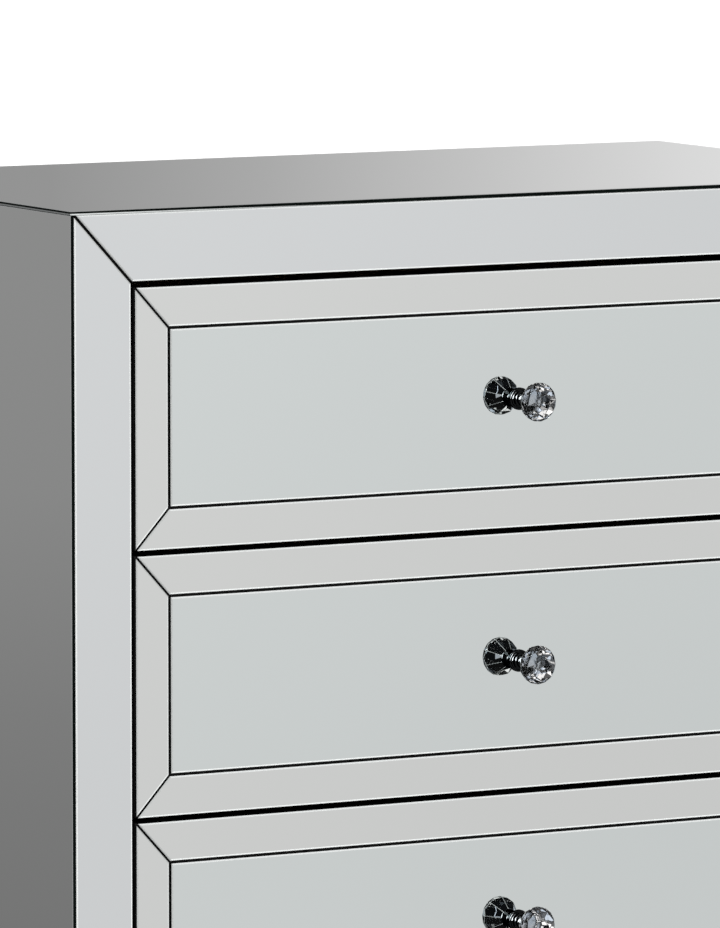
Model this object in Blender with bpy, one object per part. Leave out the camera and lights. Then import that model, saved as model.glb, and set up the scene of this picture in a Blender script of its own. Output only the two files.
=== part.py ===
# A three-drawer chest faced with mirror glass: a black board carcass behind a front frame,
# glued glass panels with mitred border strips, drawer boxes on telescopic slides, crystal knobs.
# X runs across the front, Y from front to back, Z up. All sizes are in metres.

import math

import bmesh
import bpy
from mathutils import Matrix, Vector

# Overall
WIDTH = 0.800
DEPTH = 0.458
LEG_HEIGHT = 0.034
SEAT = 0.0003

# Mirror glass
GLASS = 0.003
ARRIS = 0.0005
EDGE_GAP = 0.0004
STILE_FACE = 0.049
RAIL_FACE = 0.0528
MITRE_GAP = 0.0018
MITRE_WEB = 0.0012
MITRE_WEB_WIDTH = 0.006

# Drawer fronts
DRAWER_COUNT = 3
FRONT_HEIGHT = 0.2055
FRONT_GAP = 0.0047
OPENING_GAP = 0.0054
SIDE_GAP = 0.0041
BORDER_STILE = 0.0282
BORDER_RAIL = 0.031
JOINT_GAP = 0.0024

# Boards
BOARD = 0.015
FRAME_BOARD = 0.018
FRONT_BOARD = 0.018
LINING_BOARD = 0.015
BACK_PANEL = 0.005

# Drawer boxes
BOX_BOARD = 0.012
BOX_HEIGHT = 0.150
BOX_LIFT = 0.022
BOX_END_GAP = 0.026
BOX_BOTTOM = 0.005
GROOVE_LIFT = 0.010
GROOVE_DEPTH = 0.006

# Telescopic slides
SLIDE_HEIGHT = 0.045
SLIDE_THICKNESS = 0.0127
SLIDE_LIFT = 0.082
SLIDE_SETBACK = 0.003
SLIDE_END_GAP = 0.0284
SLIDE_RUN = 0.0004
SHEET = 0.0012
CHANNEL_REACH = 0.0095
MIDDLE_WEB_AT = 0.0046

# Knobs
ROSETTE_RADIUS = 0.009
ROSETTE_HEIGHT = 0.002
ROSETTE_EDGE = 0.0009
NECK_RADIUS = 0.0042
NECK_RUN = 0.0022
BEAD_RADIUS = 0.0057
BEAD_LENGTH = 0.0050
BEAD_STEPS = 6
CUP_RADIUS = 0.0074
CUP_LENGTH = 0.0036
CUP_RIM = 0.0008
CRYSTAL_RADIUS = 0.0156
PAVILION_DEPTH = 0.0144
GIRDLE_HEIGHT = 0.0014
CROWN_HEIGHT = 0.0080
TABLE_RADIUS = 0.0085
FACETS = 8
STUD_RADIUS = 0.002
STUD_LENGTH = 0.016
STUD_CLEARANCE = 0.0004
ROUND_STEPS = 24

# Levels worked out from the sizes above. Local Y starts at the front glass face.
KNOB_BASE_LENGTH = ROSETTE_HEIGHT + 2 * NECK_RUN + BEAD_LENGTH + CUP_LENGTH
CRYSTAL_BACK = KNOB_BASE_LENGTH + 2 * SEAT
KNOB_PROJECTION = CRYSTAL_BACK + PAVILION_DEPTH + GIRDLE_HEIGHT + CROWN_HEIGHT
FRONT_Y = (KNOB_PROJECTION - DEPTH) / 2
CARCASS_BOTTOM = LEG_HEIGHT + SEAT
OPENING_BOTTOM = CARCASS_BOTTOM + RAIL_FACE
FRONT_PITCH = FRONT_HEIGHT + FRONT_GAP
OPENING_TOP = OPENING_BOTTOM + 2 * OPENING_GAP + DRAWER_COUNT * FRONT_PITCH - FRONT_GAP
TOP_UNDERSIDE = OPENING_TOP + RAIL_FACE + EDGE_GAP
HEIGHT = TOP_UNDERSIDE + GLASS
CARCASS_TOP = TOP_UNDERSIDE - SEAT
SIDE_OUTER_X = WIDTH / 2 - GLASS - SEAT
SIDE_INNER_X = SIDE_OUTER_X - BOARD
OPENING_HALF = WIDTH / 2 - GLASS - EDGE_GAP - STILE_FACE
FRONT_HALF = OPENING_HALF - SIDE_GAP
BOX_HALF = OPENING_HALF - 2 * SEAT - SLIDE_THICKNESS
BOX_INNER = BOX_HALF - BOX_BOARD
BOARD_FACE_Y = GLASS + SEAT
FRAME_BACK_Y = BOARD_FACE_Y + FRAME_BOARD
FRONT_BACK_Y = BOARD_FACE_Y + FRONT_BOARD
INNER_FRONT_Y = FRAME_BACK_Y + SEAT
INNER_BACK_Y = DEPTH - BACK_PANEL - SEAT
BOX_FRONT_Y = FRONT_BACK_Y + SEAT
BOX_END_Y = INNER_BACK_Y - BOX_END_GAP
SLIDE_FRONT_Y = max(FRAME_BACK_Y, FRONT_BACK_Y) + SLIDE_SETBACK
SLIDE_LENGTH = INNER_BACK_Y - SLIDE_END_GAP - SLIDE_FRONT_Y
GROOVE_LOW = BOX_LIFT + GROOVE_LIFT
GROOVE_HIGH = GROOVE_LOW + BOX_BOTTOM + 2 * SEAT
KNOB_Z = FRONT_HEIGHT / 2


def clear_scene():
    for obj in list(bpy.data.objects):
        bpy.data.objects.remove(obj, do_unlink=True)


def finish(name, colour, roughness, metallic=0.0, transmission=0.0):
    mat = bpy.data.materials.new(name)
    mat.use_nodes = True
    shader = mat.node_tree.nodes["Principled BSDF"]
    shader.inputs["Base Color"].default_value = (*colour, 1.0)
    shader.inputs["Roughness"].default_value = roughness
    shader.inputs["Metallic"].default_value = metallic
    shader.inputs["Transmission Weight"].default_value = transmission
    return mat


def empty(name, location):
    obj = bpy.data.objects.new(name, None)
    obj.location = location
    bpy.context.scene.collection.objects.link(obj)
    return obj


def place(name, bm, mat, parent, location=(0, 0, 0), rotation=(0, 0, 0), round_angle=None):
    bmesh.ops.recalc_face_normals(bm, faces=bm.faces)
    mesh = bpy.data.meshes.new(name)
    bm.to_mesh(mesh)
    bm.free()
    mesh.materials.append(mat)
    if round_angle:
        mesh.shade_smooth()
        mesh.set_sharp_from_angle(angle=math.radians(round_angle))
    obj = bpy.data.objects.new(name, mesh)
    bpy.context.scene.collection.objects.link(obj)
    obj.parent = parent
    obj.location = location
    obj.rotation_euler = rotation
    return obj


def block(low, high, bm=None):
    bm = bm or bmesh.new()
    low, high = Vector(low), Vector(high)
    matrix = Matrix.Translation((low + high) / 2) @ Matrix.Diagonal((*(high - low), 1))
    bmesh.ops.create_cube(bm, size=1, matrix=matrix)
    return bm


def thicken(bm, faces, run):
    # Carries faces drawn in the XZ plane backwards into a solid.
    made = bmesh.ops.extrude_face_region(bm, geom=faces)
    moved = [v for v in made["geom"] if isinstance(v, bmesh.types.BMVert)]
    bmesh.ops.translate(bm, verts=moved, vec=(0, run, 0))


def prism(outline, y0, y1, bm=None):
    # An outline of (x, z) points carried from y0 to y1.
    bm = bm or bmesh.new()
    face = bm.faces.new([bm.verts.new((x, y0, z)) for x, z in outline])
    thicken(bm, [face], y1 - y0)
    return bm


def rectangle(x0, z0, x1, z1):
    return [(x0, z0), (x1, z0), (x1, z1), (x0, z1)]


def glass_pane(*outlines):
    # Glass whose shown face is at y = 0, facing -Y, with its sharp front edges ground off.
    bm = bmesh.new()
    for outline in outlines:
        prism(outline, 0, GLASS, bm)
    front = [e for e in bm.edges if all(abs(v.co.y) < ARRIS / 10 for v in e.verts)]
    bmesh.ops.bevel(bm, geom=front, offset=ARRIS, segments=1, affect="EDGES", profile=0.5)
    return bm


def turned(profile):
    # A profile of (distance out from the glass, radius) points spun about the knob's axis.
    bm = bmesh.new()
    verts = [bm.verts.new((radius, -out, 0)) for out, radius in profile]
    edges = [bm.edges.new(pair) for pair in zip(verts, verts[1:])]
    bmesh.ops.spin(
        bm, geom=verts + edges, cent=(0, 0, 0), axis=(0, 1, 0),
        angle=math.tau, steps=ROUND_STEPS, use_merge=True,
    )
    bmesh.ops.remove_doubles(bm, verts=bm.verts, dist=SEAT / 100)
    return bm


def meet(point_a, along_a, point_b, along_b):
    # Where two lines in the XZ plane cross.
    offset = point_b - point_a
    share = offset.cross(along_b) / along_a.cross(along_b)
    return point_a + along_a * share


def corners(outer, inner):
    # Each corner of a mitred border, as its outer point, its inner point and the mitre's direction.
    for point_out, point_in in zip(rectangle(*outer), rectangle(*inner)):
        point_out, point_in = Vector(point_out), Vector(point_in)
        yield point_out, point_in, (point_in - point_out).normalized()


def mitred_strip(outer, inner, side):
    # One strip of a mitred border between two rectangles of (x0, z0, x1, z1), MITRE_GAP apart.
    ends = list(corners(outer, inner))
    first = ("bottom", "right", "top", "left").index(side)
    pair = (ends[first], ends[(first + 1) % 4])
    run = (pair[1][0] - pair[0][0]).normalized()
    points = []
    for (point_out, point_in, mitre), towards in zip(pair, (1, -1)):
        square = Vector((-mitre.y, mitre.x))
        start = point_out + square * math.copysign(MITRE_GAP / 2, square.dot(run) * towards)
        points.append((meet(start, mitre, point_out, run), meet(start, mitre, point_in, run)))
    (out_a, in_a), (out_b, in_b) = points
    return [tuple(out_a), tuple(out_b), tuple(in_b), tuple(in_a)]


def mitre_webs(outer, inner):
    # Thin pieces within the glass, behind each mitre, that hold the four strips of a border together.
    bm = bmesh.new()
    for point_out, point_in, mitre in corners(outer, inner):
        square = Vector((-mitre.y, mitre.x)) * MITRE_WEB_WIDTH / 2
        near = point_out + mitre * MITRE_WEB_WIDTH
        far = point_in - mitre * MITRE_WEB_WIDTH
        outline = [near - square, near + square, far + square, far - square]
        prism([tuple(point) for point in outline], GLASS - MITRE_WEB, GLASS - SEAT, bm)
    return bm


def helper(name, bm, mat, parent, location=(0, 0, 0)):
    obj = place(name, bm, mat, parent, location)
    obj.hide_render = True
    obj.display_type = "WIRE"
    return obj


def combine(obj, tool, operation):
    modifier = obj.modifiers.new(operation.lower(), "BOOLEAN")
    modifier.operation = operation
    modifier.object = tool


def make_boards(carcass, black, raw):
    side_top = CARCASS_TOP - BOARD - SEAT
    for side, sign in (("left", -1), ("right", 1)):
        near, far = sorted((sign * SIDE_INNER_X, sign * SIDE_OUTER_X))
        board = block((near, INNER_FRONT_Y, 0), (far, INNER_BACK_Y, side_top))
        place(side + "_side_board", board, black, carcass)
        near, far = sorted((sign * OPENING_HALF, sign * (OPENING_HALF + LINING_BOARD)))
        board = block(
            (near, INNER_FRONT_Y, CARCASS_BOTTOM + BOARD + SEAT), (far, INNER_BACK_Y, side_top),
        )
        place(side + "_lining_board", board, black, carcass)
    board = block(
        (-SIDE_OUTER_X, INNER_FRONT_Y, CARCASS_TOP - BOARD), (SIDE_OUTER_X, INNER_BACK_Y, CARCASS_TOP),
    )
    place("top_board", board, black, carcass)
    reach = SIDE_INNER_X - SEAT
    board = block((-reach, INNER_FRONT_Y, CARCASS_BOTTOM), (reach, INNER_BACK_Y, CARCASS_BOTTOM + BOARD))
    place("base_board", board, black, carcass)
    board = block((-SIDE_OUTER_X, DEPTH - BACK_PANEL, CARCASS_BOTTOM), (SIDE_OUTER_X, DEPTH, CARCASS_TOP))
    place("back_panel", board, raw, carcass)


def make_front_frame(carcass, black):
    # One routed board: two legs, the rails and stiles round the drawer opening.
    across = (-SIDE_OUTER_X, -OPENING_HALF, OPENING_HALF, SIDE_OUTER_X)
    up = (0, CARCASS_BOTTOM, OPENING_BOTTOM, OPENING_TOP, CARCASS_TOP)
    left_out = ((1, 0), (1, 2))
    bm = bmesh.new()
    grid = {(i, k): bm.verts.new((x, BOARD_FACE_Y, z)) for i, x in enumerate(across) for k, z in enumerate(up)}
    faces = []
    for i in range(len(across) - 1):
        for k in range(len(up) - 1):
            if (i, k) not in left_out:
                faces.append(bm.faces.new([grid[i, k], grid[i + 1, k], grid[i + 1, k + 1], grid[i, k + 1]]))
    thicken(bm, faces, FRAME_BOARD)
    place("front_frame", bm, black, carcass)


def make_carcass_glass(carcass, mirror):
    quarter = math.radians(90)
    panel_top = TOP_UNDERSIDE - EDGE_GAP
    top = glass_pane(rectangle(-WIDTH / 2, 0, WIDTH / 2, DEPTH))
    place("top_mirror", top, mirror, carcass, (0, 0, HEIGHT), (-quarter, 0, 0))
    left = glass_pane(rectangle(-DEPTH, CARCASS_BOTTOM, 0, panel_top))
    place("left_side_mirror", left, mirror, carcass, (-WIDTH / 2, 0, 0), (0, 0, -quarter))
    right = glass_pane(rectangle(0, CARCASS_BOTTOM, DEPTH, panel_top))
    place("right_side_mirror", right, mirror, carcass, (WIDTH / 2, 0, 0), (0, 0, quarter))
    face_half = OPENING_HALF + STILE_FACE
    outer = (-face_half, CARCASS_BOTTOM, face_half, panel_top)
    inner = (-OPENING_HALF, OPENING_BOTTOM, OPENING_HALF, OPENING_TOP)
    for side in ("top", "bottom", "left", "right"):
        strip = glass_pane(mitred_strip(outer, inner, side))
        place("frame_mirror_" + side, strip, mirror, carcass)


def slide_outline(points, sign, level):
    # Points give the distance from the lining towards the drawer, and the height about the axis.
    start = OPENING_HALF - SEAT
    return [(sign * (start - inward), level + up) for inward, up in points]


def channel_points():
    half = SLIDE_HEIGHT / 2
    edge = half - SHEET
    return [
        (0, -half), (CHANNEL_REACH, -half), (CHANNEL_REACH, -edge), (SHEET, -edge),
        (SHEET, edge), (CHANNEL_REACH, edge), (CHANNEL_REACH, half), (0, half),
    ]


def middle_points():
    half = SLIDE_HEIGHT / 2 - SHEET - SLIDE_RUN
    edge = half - SHEET
    near, far = SHEET + SLIDE_RUN, SLIDE_THICKNESS - SHEET - SLIDE_RUN
    web0, web1 = MIDDLE_WEB_AT, MIDDLE_WEB_AT + SHEET
    return [
        (near, -half), (far, -half), (far, -edge), (web1, -edge), (web1, edge), (far, edge),
        (far, half), (near, half), (near, edge), (web0, edge), (web0, -edge), (near, -edge),
    ]


def runner_points():
    half = SLIDE_HEIGHT / 2 - 2 * (SHEET + SLIDE_RUN)
    edge = half - SHEET
    near = MIDDLE_WEB_AT + SHEET + SLIDE_RUN
    web = SLIDE_THICKNESS - SHEET
    return [
        (near, -half), (SLIDE_THICKNESS, -half), (SLIDE_THICKNESS, half), (near, half),
        (near, edge), (web, edge), (web, -edge), (near, -edge),
    ]


def drawer_bottom(number):
    return OPENING_TOP - OPENING_GAP - FRONT_HEIGHT - (number - 1) * FRONT_PITCH


def make_slides(number, carcass, drawer, steel):
    # Three nested members a side: one on the lining, one on the drawer, one between at half speed.
    middles = empty(f"slide_middles_{number}", (0, FRONT_Y + SLIDE_FRONT_Y, drawer_bottom(number)))
    end = SLIDE_FRONT_Y + SLIDE_LENGTH
    fixed_level = drawer_bottom(number) + SLIDE_LIFT
    for side, sign in (("left", -1), ("right", 1)):
        member = prism(slide_outline(channel_points(), sign, fixed_level), SLIDE_FRONT_Y, end)
        place(f"{side}_slide_channel_{number}", member, steel, carcass)
        member = prism(slide_outline(middle_points(), sign, SLIDE_LIFT), 0, SLIDE_LENGTH)
        place(f"drawer_{number}_{side}_slide_middle", member, steel, middles)
        member = prism(slide_outline(runner_points(), sign, SLIDE_LIFT), SLIDE_FRONT_Y, end)
        place(f"drawer_{number}_{side}_slide_runner", member, steel, drawer)


def make_box(tag, drawer, wood):
    top = BOX_LIFT + BOX_HEIGHT
    slot = BOX_INNER + GROOVE_DEPTH
    outline = [
        (BOX_HALF, BOX_LIFT), (BOX_HALF, top), (BOX_INNER, top), (BOX_INNER, GROOVE_HIGH),
        (slot, GROOVE_HIGH), (slot, GROOVE_LOW), (BOX_INNER, GROOVE_LOW), (BOX_INNER, BOX_LIFT),
    ]
    for side, sign in (("left", -1), ("right", 1)):
        board = prism([(sign * x, z) for x, z in outline], BOX_FRONT_Y, BOX_END_Y)
        place(f"{tag}_{side}_side", board, wood, drawer)
    bottom_low = GROOVE_LOW + SEAT
    bottom_high = bottom_low + BOX_BOTTOM
    board = block(
        (SEAT - slot, FRONT_BACK_Y - GROOVE_DEPTH + SEAT, bottom_low), (slot - SEAT, BOX_END_Y, bottom_high),
    )
    place(tag + "_bottom", board, wood, drawer)
    board = block(
        (SEAT - BOX_INNER, BOX_END_Y - BOX_BOARD, bottom_high + SEAT), (BOX_INNER - SEAT, BOX_END_Y, top),
    )
    place(tag + "_back", board, wood, drawer)


def make_front(tag, drawer, black, mirror):
    bm = block((-FRONT_HALF, BOARD_FACE_Y, 0), (FRONT_HALF, FRONT_BACK_Y, FRONT_HEIGHT))
    board = place(tag + "_front_board", bm, black, drawer)
    outer = (-FRONT_HALF, 0, FRONT_HALF, FRONT_HEIGHT)
    inner = (
        BORDER_STILE - FRONT_HALF, BORDER_RAIL, FRONT_HALF - BORDER_STILE, FRONT_HEIGHT - BORDER_RAIL,
    )
    strips = glass_pane(*(mitred_strip(outer, inner, side) for side in ("top", "bottom", "left", "right")))
    border = place(tag + "_border_mirror", strips, mirror, drawer)
    combine(border, helper(tag + "_mitre_webs", mitre_webs(outer, inner), mirror, drawer), "UNION")
    x0, z0, x1, z1 = inner
    centre = glass_pane(rectangle(x0 + JOINT_GAP, z0 + JOINT_GAP, x1 - JOINT_GAP, z1 - JOINT_GAP))
    pane = place(tag + "_centre_mirror", centre, mirror, drawer)
    slot = BOX_INNER + GROOVE_DEPTH
    groove = block(
        (-slot, FRONT_BACK_Y - GROOVE_DEPTH, GROOVE_LOW), (slot, FRONT_BACK_Y + SEAT, GROOVE_HIGH),
    )
    combine(board, helper(tag + "_front_groove", groove, black, drawer), "DIFFERENCE")
    bore = STUD_RADIUS + STUD_CLEARANCE
    depth = STUD_LENGTH + STUD_CLEARANCE
    hole = turned([(-depth, 0), (-depth, bore), (SEAT, bore), (SEAT, 0)])
    tool = helper(tag + "_stud_hole", hole, black, drawer, (0, 0, KNOB_Z))
    for obj in (pane, board):
        combine(obj, tool, "DIFFERENCE")


def make_knob(tag, drawer, chrome, crystal):
    rosette_top = SEAT + ROSETTE_HEIGHT
    bead_start = rosette_top + NECK_RUN
    cup_start = bead_start + BEAD_LENGTH + NECK_RUN
    cup_end = cup_start + CUP_LENGTH
    profile = [
        (-STUD_LENGTH, 0), (-STUD_LENGTH, STUD_RADIUS), (SEAT, STUD_RADIUS), (SEAT, ROSETTE_RADIUS),
        (rosette_top - ROSETTE_EDGE, ROSETTE_RADIUS), (rosette_top, ROSETTE_RADIUS - ROSETTE_EDGE),
        (rosette_top, NECK_RADIUS),
    ]
    for step in range(BEAD_STEPS + 1):
        angle = math.pi * step / BEAD_STEPS
        out = bead_start + BEAD_LENGTH * (1 - math.cos(angle)) / 2
        profile.append((out, NECK_RADIUS + (BEAD_RADIUS - NECK_RADIUS) * math.sin(angle)))
    profile += [
        (cup_start, NECK_RADIUS), (cup_end - CUP_RIM, CUP_RADIUS), (cup_end, CUP_RADIUS), (cup_end, 0),
    ]
    place(tag + "_knob_base", turned(profile), chrome, drawer, (0, 0, KNOB_Z), round_angle=35)

    # Rings of (distance out, radius, corners, turn in steps), from the cup to the flat front table.
    girdle = CRYSTAL_BACK + PAVILION_DEPTH
    crown = girdle + GIRDLE_HEIGHT
    rings = (
        (CRYSTAL_BACK, CUP_RADIUS - ROSETTE_EDGE, FACETS, 0),
        (CRYSTAL_BACK + PAVILION_DEPTH / 2, (CUP_RADIUS + CRYSTAL_RADIUS) * 0.54, FACETS, 0.5),
        (girdle, CRYSTAL_RADIUS, 2 * FACETS, 0), (crown, CRYSTAL_RADIUS, 2 * FACETS, 0),
        (crown + CROWN_HEIGHT / 2, (CRYSTAL_RADIUS + TABLE_RADIUS) * 0.56, FACETS, 0.5),
        (KNOB_PROJECTION, TABLE_RADIUS, FACETS, 0),
    )
    bm = bmesh.new()
    for out, radius, count, turn in rings:
        for step in range(count):
            angle = math.tau * (step + turn) / count
            bm.verts.new((radius * math.cos(angle), -out, radius * math.sin(angle)))
    hull = bmesh.ops.convex_hull(bm, input=bm.verts)
    spare = [v for v in hull["geom_interior"] if isinstance(v, bmesh.types.BMVert)]
    bmesh.ops.delete(bm, geom=spare, context="VERTS")
    place(tag + "_knob_crystal", bm, crystal, drawer, (0, 0, KNOB_Z))


def main():
    clear_scene()
    black = finish("black_board", (0.02, 0.02, 0.02), 0.45)
    raw = finish("back_hardboard", (0.05, 0.045, 0.04), 0.8)
    wood = finish("drawer_wood", (0.62, 0.47, 0.31), 0.55)
    mirror = finish("mirror_glass", (0.82, 0.84, 0.83), 0.02, metallic=1.0)
    steel = finish("zinc_steel", (0.62, 0.63, 0.64), 0.32, metallic=1.0)
    chrome = finish("chrome", (0.12, 0.12, 0.13), 0.05, metallic=1.0)
    crystal = finish("crystal", (0.98, 0.99, 0.99), 0.0, transmission=1.0)

    carcass = empty("carcass", (0, FRONT_Y, 0))
    make_boards(carcass, black, raw)
    make_front_frame(carcass, black)
    make_carcass_glass(carcass, mirror)
    for number in range(1, DRAWER_COUNT + 1):
        tag = f"drawer_{number}"
        drawer = empty(tag, (0, FRONT_Y, drawer_bottom(number)))
        make_front(tag, drawer, black, mirror)
        make_box(tag, drawer, wood)
        make_slides(number, carcass, drawer, steel)
        make_knob(tag, drawer, chrome, crystal)


main()
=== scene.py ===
import math

import bmesh
import bpy
from mathutils import Matrix, Vector


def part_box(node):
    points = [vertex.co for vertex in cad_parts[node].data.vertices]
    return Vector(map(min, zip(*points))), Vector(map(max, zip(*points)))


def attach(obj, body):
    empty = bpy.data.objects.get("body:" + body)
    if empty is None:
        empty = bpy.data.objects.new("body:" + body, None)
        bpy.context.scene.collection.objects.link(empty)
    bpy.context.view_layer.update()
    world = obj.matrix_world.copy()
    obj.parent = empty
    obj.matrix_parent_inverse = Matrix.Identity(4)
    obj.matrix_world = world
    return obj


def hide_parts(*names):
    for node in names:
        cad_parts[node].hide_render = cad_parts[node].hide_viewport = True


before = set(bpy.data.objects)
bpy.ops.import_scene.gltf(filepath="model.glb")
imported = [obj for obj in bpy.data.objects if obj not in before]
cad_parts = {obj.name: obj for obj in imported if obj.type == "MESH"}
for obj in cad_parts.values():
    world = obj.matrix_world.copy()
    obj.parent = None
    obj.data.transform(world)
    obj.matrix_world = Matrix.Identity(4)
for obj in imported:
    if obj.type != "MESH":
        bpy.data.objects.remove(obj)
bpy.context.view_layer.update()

drawerNumbers = (1, 2, 3)
quarter = math.radians(90)
mm = 0.001
hair = 1e-6                     # levels closer than this are the same


# Small helpers for materials

def startMaterial(name):
    material = bpy.data.materials.new(name)
    material.use_nodes = True
    return material, material.node_tree, material.node_tree.nodes["Principled BSDF"]


def addNode(tree, kind, inputs=None, **settings):
    node = tree.nodes.new(kind)
    for key, value in settings.items():
        setattr(node, key, value)
    for key, value in (inputs or {}).items():
        if isinstance(value, bpy.types.NodeSocket):
            tree.links.new(value, node.inputs[key])
        else:
            node.inputs[key].default_value = value
    return node


def placeOn(tree, stretch=(1, 1, 1), shift=(0, 0, 0)):
    # where a point lies on the piece, stretched or moved
    where = addNode(tree, "ShaderNodeTexCoord").outputs["Object"]
    inputs = {"Vector": where, "Scale": stretch, "Location": shift}
    return addNode(tree, "ShaderNodeMapping", inputs).outputs[0]


def addNoise(tree, scale, detail=3.0, stretch=(1, 1, 1), shift=(0, 0, 0), roughness=0.5):
    where = placeOn(tree, stretch, shift)
    inputs = {"Vector": where, "Scale": scale, "Detail": detail, "Roughness": roughness}
    return addNode(tree, "ShaderNodeTexNoise", inputs).outputs[0]


def remap(tree, value, low, high, outLow=0.0, outHigh=1.0):
    inputs = {"Value": value, "From Min": low, "From Max": high, "To Min": outLow, "To Max": outHigh}
    return addNode(tree, "ShaderNodeMapRange", inputs).outputs[0]


def mixColour(tree, factor, first, second):
    first, second = [(*c, 1.0) if isinstance(c, tuple) else c for c in (first, second)]
    return addNode(tree, "ShaderNodeMix", {0: factor, 6: first, 7: second}, data_type="RGBA").outputs[2]


soft = (0.3, 0.7)               # the usual parts of a noise's range over which two finishes mix
crisp = (0.35, 0.65)


def speckle(tree, pattern, low, high, first, second):
    # the first colour where a pattern lies under low, turning into the second above high
    return mixColour(tree, remap(tree, pattern, low, high), first, second)


def addMath(tree, operation, first, second=0.0):
    return addNode(tree, "ShaderNodeMath", {0: first, 1: second}, operation=operation).outputs[0]


def addBump(tree, height, strength, distance):
    inputs = {"Height": height, "Strength": strength, "Distance": distance}
    return addNode(tree, "ShaderNodeBump", inputs).outputs[0]


def connect(tree, shader, **sockets):
    # each keyword is a shader input with its spaces left out
    for socket in shader.inputs:
        key = socket.name.replace(" ", "")
        if key in sockets:
            value = sockets[key]
            if isinstance(value, bpy.types.NodeSocket):
                tree.links.new(value, socket)
            else:
                socket.default_value = (*value, 1.0) if isinstance(value, tuple) else value


def scaled(colour, factor):
    return tuple(channel * factor for channel in colour)


# Materials

silvering = {
    "frame": (0.812, 0.832, 0.842),
    "border": (0.815, 0.826, 0.815),
    "centre": (0.792, 0.832, 0.826),
    "carcass": (0.826, 0.832, 0.826),
    "cloudScale": 2.3,
    "clouding": 0.012,          # how far the tone drifts over a pane
    "wipeScale": 6.0,
    "wipeStretch": (1, 1, 2.4),
    "wipeBreakUp": 0.62,
    "wipeRange": (0.52, 0.74),
    "roughness": (0.003, 0.022),            # a clean spot, and a faint wipe mark
    "waveScale": 4.0,
    "waviness": 0.010,          # float glass is never quite flat
    "waveDepth": 0.002,
}


def silverFinish(name, tint):
    material, tree, shader = startMaterial(name)
    clouds = addNoise(tree, silvering["cloudScale"], 2.0)
    colour = speckle(tree, clouds, *crisp, scaled(tint, 1 - silvering["clouding"]), tint)
    wipes = addNoise(tree, silvering["wipeScale"], 5.0, silvering["wipeStretch"],
                     roughness=silvering["wipeBreakUp"])
    rough = remap(tree, wipes, *silvering["wipeRange"], *silvering["roughness"])
    waves = addNoise(tree, silvering["waveScale"], 1.0)
    waves = addBump(tree, waves, silvering["waviness"], silvering["waveDepth"])
    connect(tree, shader, BaseColor=colour, Metallic=1.0, Roughness=rough, Normal=waves)
    return material


grindingAndPaintedLight = {
    "gritScale": 1100.0,
    "shades": (0.88, 1.08),
    "roughness": (0.35, 0.5),
    "gloss": 0.02,
    # plain, mid, pale and soft are painted light: one frosted band made brighter or dimmer for the light it
    # catches, by the way it leans
    "plain": (0.52, 0.535, 0.53),
    "mid": (0.58, 0.595, 0.59),
    "pale": (0.73, 0.75, 0.745),
    "soft": (0.36, 0.37, 0.365),
    "seamed": (0.20, 0.205, 0.205),
}


def groundFinish(name, tint):
    # a narrow band ground with a stone is frosted, so it catches light from all round
    material, tree, shader = startMaterial(name)
    grit = addNoise(tree, grindingAndPaintedLight["gritScale"], 2.0)
    darker, lighter = [scaled(tint, shade) for shade in grindingAndPaintedLight["shades"]]
    colour = speckle(tree, grit, *soft, darker, lighter)
    rough = remap(tree, grit, *soft, *grindingAndPaintedLight["roughness"])
    connect(tree, shader, BaseColor=colour, Roughness=rough, SpecularIORLevel=grindingAndPaintedLight["gloss"])
    return material


sawnEdge = {
    "depthScale": 45.0,
    "deep": (0.0006, 0.0014, 0.0012),
    "clear": (0.0018, 0.0034, 0.0028),
    "sawScale": 700.0,
    "roughness": (0.32, 0.46),
    "gloss": 0.02,
    # painted light on the top pane's lowest edge strip: brighter on its front edge, dimmer on its ends
    "frontLight": (0.50, 0.52, 0.515),
    "endLight": (0.12, 0.125, 0.125),
    "lightRun": (-0.40, -0.14),             # from the chest's left end to a third of the way along
    "lightBlur": 0.00015,
}


def glassEdgeFinish(name, light=(0.0, 0.0, 0.0), widths=(0.0, 0.0), lowest=0.0):
    # the sawn edge of a pane looks down a long way of green glass; a painted lit strip may run along its
    # lowest part, as wide as the first width at the chest's left end and as the second from a third of the
    # way along
    material, tree, shader = startMaterial(name)
    depth = addNoise(tree, sawnEdge["depthScale"], 3.0)
    colour = speckle(tree, depth, *crisp, sawnEdge["deep"], sawnEdge["clear"])
    if widths[0] > 0:
        place = addNode(tree, "ShaderNodeSeparateXYZ", {0: placeOn(tree)}).outputs
        width = remap(tree, place[0], *sawnEdge["lightRun"], *widths)
        above = addMath(tree, "SUBTRACT", addMath(tree, "SUBTRACT", place[2], lowest), width)
        blur = sawnEdge["lightBlur"]
        colour = mixColour(tree, remap(tree, above, -blur, blur, 1.0, 0.0), colour, light)
    rough = remap(tree, addNoise(tree, sawnEdge["sawScale"], 2.0), *soft, *sawnEdge["roughness"])
    connect(tree, shader, BaseColor=colour, Roughness=rough, SpecularIORLevel=sawnEdge["gloss"])
    return material


mirrorPaint = {
    "mottleScale": 120.0,
    "dark": (0.075, 0.080, 0.085),
    "light": (0.11, 0.115, 0.12),
    "roughness": 0.6,
    "bump": (0.2, 0.0004),      # strength and depth, here and below
}


def backPaintFinish():
    material, tree, shader = startMaterial("mirrorBackPaint")
    mottle = addNoise(tree, mirrorPaint["mottleScale"], 4.0)
    colour = speckle(tree, mottle, *crisp, mirrorPaint["dark"], mirrorPaint["light"])
    bump = addBump(tree, mottle, *mirrorPaint["bump"])
    connect(tree, shader, BaseColor=colour, Roughness=mirrorPaint["roughness"], Normal=bump)
    return material


lacquer = {
    "driftScale": 14.0,
    "deep": (0.0045, 0.0045, 0.0048),
    "thin": (0.0095, 0.0093, 0.0092),
    "dustScale": 1600.0,
    "dustRange": (0.66, 0.74),
    "dust": (0.022, 0.022, 0.021),
    "peelScale": 420.0,         # the orange peel of sprayed lacquer
    "roughness": (0.40, 0.52),
    "gloss": 0.08,
    "bump": (0.12, 0.0003),
}


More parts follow.
